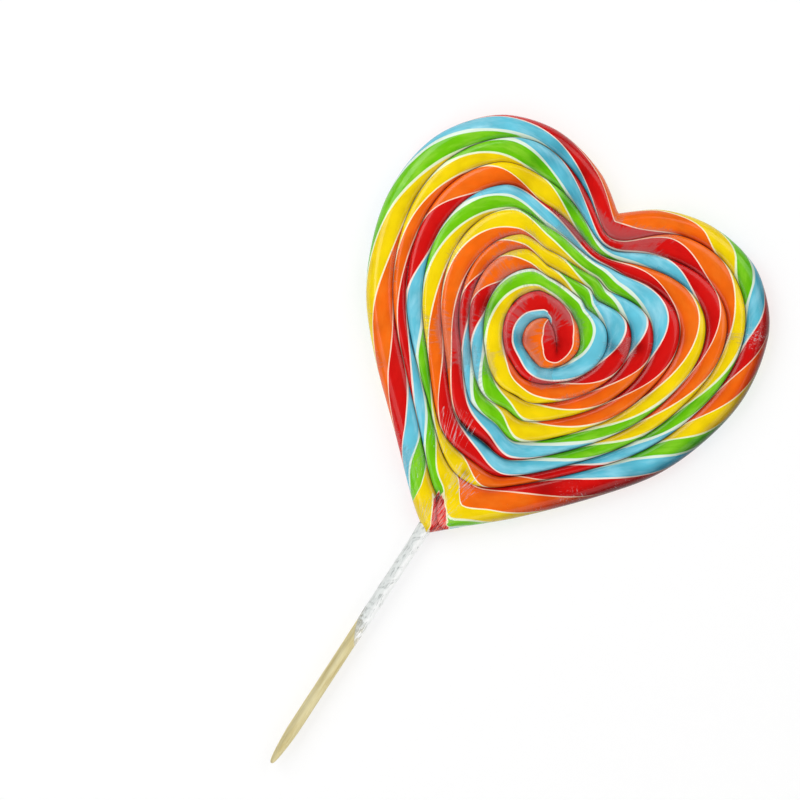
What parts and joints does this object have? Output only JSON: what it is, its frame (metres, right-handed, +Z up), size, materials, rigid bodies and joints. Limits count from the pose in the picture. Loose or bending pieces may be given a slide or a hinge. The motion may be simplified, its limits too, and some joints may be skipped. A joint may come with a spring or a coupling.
{
  "type": "heart lollipop",
  "caption": "Heart-shaped lollipop coiled from a striped, twisted sugar rope, on a pointed wooden stick, with its clear wrapper gathered round the stick.",
  "frame": {"origin": "on the surface it lies on, under the middle of the whole lollipop's box", "axes": "+Y from the stick's point to the notch between the heart's lobes, along its length, +Z up out of the shown face, +X to the right seen from above"},
  "size_m": [0.15, 0.2518, 0.0096],
  "materials": {
    "candy": "glossy boiled sugar in red, orange, yellow, green and blue stripes",
    "stick": "pale sanded birch",
    "film": "clear crinkled cellophane"
  },
  "bodies": {
    "root": {"candy_heart": "candy", "stick": "stick", "film_sleeve": "film"}
  },
  "joints": []
}
